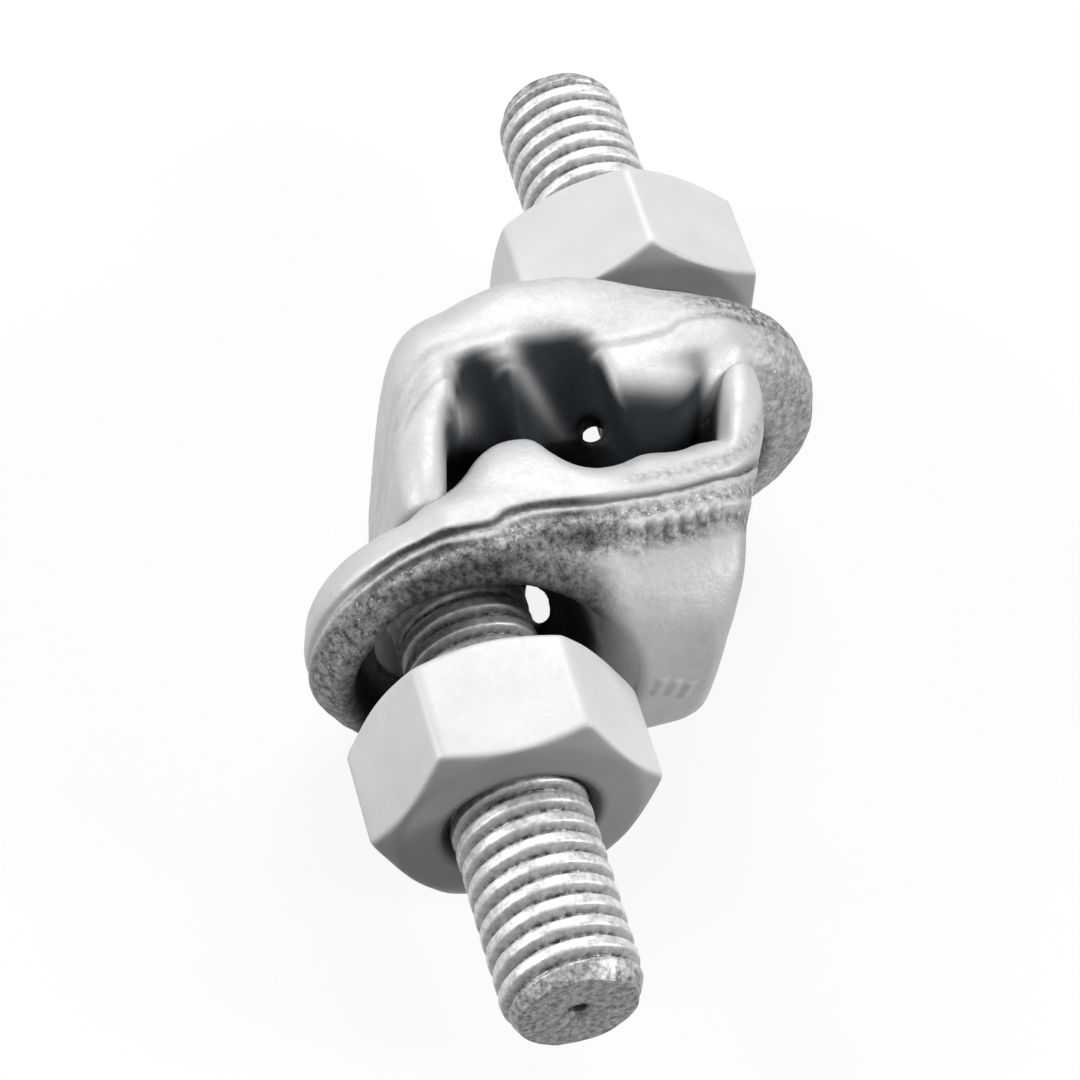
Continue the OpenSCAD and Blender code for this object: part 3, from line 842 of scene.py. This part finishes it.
def stud_zinc():
    """Zinc on the threads: pale crests and speckled painted shade in the roots, with a dark worn tip, and
    painted shade in the centre hole and on faces towards -Y.
    """
    material, m = new_material("stud_zinc")
    fine = m.noise(0.5, 5, 0.7)
    colour = m.mix(m.span(fine, 0.32, 0.6), grey(0.42), grey(0.8))
    # painted shade on faces towards -Y
    colour = m.mix(m.math("MULTIPLY", m.mask("front_shade"), 0.45), colour, grey(0.14, -0.04))
    # painted shade in the thread roots, speckled
    root = m.math("MULTIPLY", m.mask("root"), m.span(fine, 0.62, 0.4, 0.2, 1))
    colour = m.mix(root, colour, grey(0.03, -0.1))
    wear_and_lit_spot = m.mix(m.span(fine, 0.35, 0.65), grey(0.03, -0.04), grey(0.55))
    colour = m.mix(m.math("MULTIPLY", m.mask("tip"), 0.85), colour, wear_and_lit_spot)
    # painted shade in the centre hole
    colour = m.mix(m.math("MULTIPLY", m.mask("hole"), 0.95), colour, grey(0.01))
    m.zinc(colour, m.span(fine, 0.3, 0.7, 0.35, 0.5), 0.4, m.bump(fine, 0.4, 0.1))
    return material


def nut_zinc():
    """Smooth matte zinc on the nuts, with faint clouds, and painted shade round the bore and on faces towards
    -Y.
    """
    material, m = new_material("nut_zinc")
    fine = m.noise(0.4, 4)
    colour = m.mix(m.span(m.noise(4, 3), 0.3, 0.7), grey(0.66), grey(0.72))
    # painted shade on faces towards -Y and a painted shadow round the bore
    front_shade, bore = m.math("MULTIPLY", m.mask("front_shade"), 0.5), m.math("MULTIPLY", m.mask("bore"), 0.95)
    colour = m.mix(m.math("MAXIMUM", front_shade, bore), colour, grey(0.05, -0.1))
    m.zinc(colour, m.span(fine, 0.3, 0.7, 0.42, 0.52), 0.06, m.bump(fine, 0.12, 0.05))
    return material


def floor_paint():
    """Pale floor that the camera sees as white, with a faint shadow of the object."""
    material, m = new_material("floor_paint")
    ray = m.add("ShaderNodeLightPath")
    shade = m.mix(ray.outputs["Is Camera Ray"], grey(0.12), grey(0.9))
    diffuse = m.add("ShaderNodeBsdfDiffuse", {"Color": shade}).outputs[0]
    white = m.add("ShaderNodeEmission", {"Color": grey(1), "Strength": 1.0}).outputs[0]
    share = m.math("MULTIPLY", m.seen_plainly(), FLOOR_WHITE)
    m.surface(m.add("ShaderNodeMixShader", {0: share, 1: diffuse, 2: white}).outputs[0])
    return material


# ---- scene ----


def dress(obj, body, material, node=None):
    """Gives a piece its material, its body and the CAD node that it stands for."""
    mark_front_shade(obj)
    obj.data.materials.append(material)
    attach(obj, body)
    if node:
        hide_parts(node)


def make_floor():
    """A wide floor under the clip, which isn't part of it."""
    mesh = bpy.data.meshes.new("floor")
    reach = FLOOR_REACH
    corners = [(-reach, -reach, 0), (reach, -reach, 0), (reach, reach, 0), (-reach, reach, 0)]
    mesh.from_pydata(corners, [], [(0, 1, 2, 3)])
    obj = bpy.data.objects.new("floor", mesh)
    bpy.context.collection.objects.link(obj)
    obj.data.materials.append(floor_paint())


def make_world(level):
    """A world that lights the clip a little, and that the camera sees as white."""
    world = bpy.data.worlds.new("studio")
    bpy.context.scene.world = world
    world.use_nodes = True
    w = Nodes(world.node_tree)
    background = world.node_tree.nodes["Background"]
    w.put(background.inputs[0], (1, 1, 1, 1))
    w.put(background.inputs[1], w.span(w.seen_plainly(), 0, 1, level, 1))


def make_light(name, towards, size, power):
    """A round lamp that stands in some direction from the clip and faces it."""
    data = bpy.data.lights.new(name, "AREA")
    data.shape, data.size, data.energy = "DISK", size, power
    obj = bpy.data.objects.new(name, data)
    bpy.context.collection.objects.link(obj)
    direction = np.array(towards, float) / np.linalg.norm(towards)
    obj.location = direction * LIGHT_DISTANCE + np.array([0, 0, HALF * MM])
    obj.rotation_mode = "QUATERNION"
    obj.rotation_quaternion = Vector(-direction).to_track_quat("-Z", "Y")


def make_camera():
    """A camera with the photograph's view."""
    data = bpy.data.cameras.new("camera")
    data.sensor_width = 36
    data.lens = data.sensor_width * FOCAL / PICTURE
    data.shift_x = (PICTURE / 2 - MIDDLE[0]) / PICTURE
    data.shift_y = (MIDDLE[1] - PICTURE / 2) / PICTURE
    data.clip_start = 0.01
    camera = bpy.data.objects.new("camera", data)
    bpy.context.collection.objects.link(camera)
    columns = (VIEW_RIGHT, [-v for v in VIEW_DOWN], [-v for v in VIEW_AHEAD], [v * MM for v in VIEW_PLACE])
    camera.matrix_world = Matrix([*zip(*columns), (0, 0, 0, 1)])
    bpy.context.scene.camera = camera


forged, threads, nuts = forged_zinc(), stud_zinc(), nut_zinc()
dress(forge("near_forging", NEAR), "near_saddle", forged, "near_saddle")
dress(forge("far_forging", FAR), "far_saddle", forged, "far_saddle")
dress(make_stud("near_stud", NEAR), "near_saddle", threads)
dress(make_stud("far_stud", FAR), "far_saddle", threads)
dress(make_nut("near_hex_nut", NEAR, turn=9, gap=3.3), "near_nut", nuts, "near_nut")
dress(make_nut("far_hex_nut", FAR, turn=29, gap=3.6), "far_nut", nuts, "far_nut")
make_floor()
make_world(WORLD_LEVEL)
make_light("key", (0.12, 0.6, 0.79), size=0.4, power=2.9)
make_light("left", (-0.85, 0.2, 0.5), size=0.3, power=3.3)
make_light("right", (0.8, -0.4, 0.5), size=0.3, power=3.5)
make_camera()
bpy.context.scene.view_settings.view_transform = "Standard"
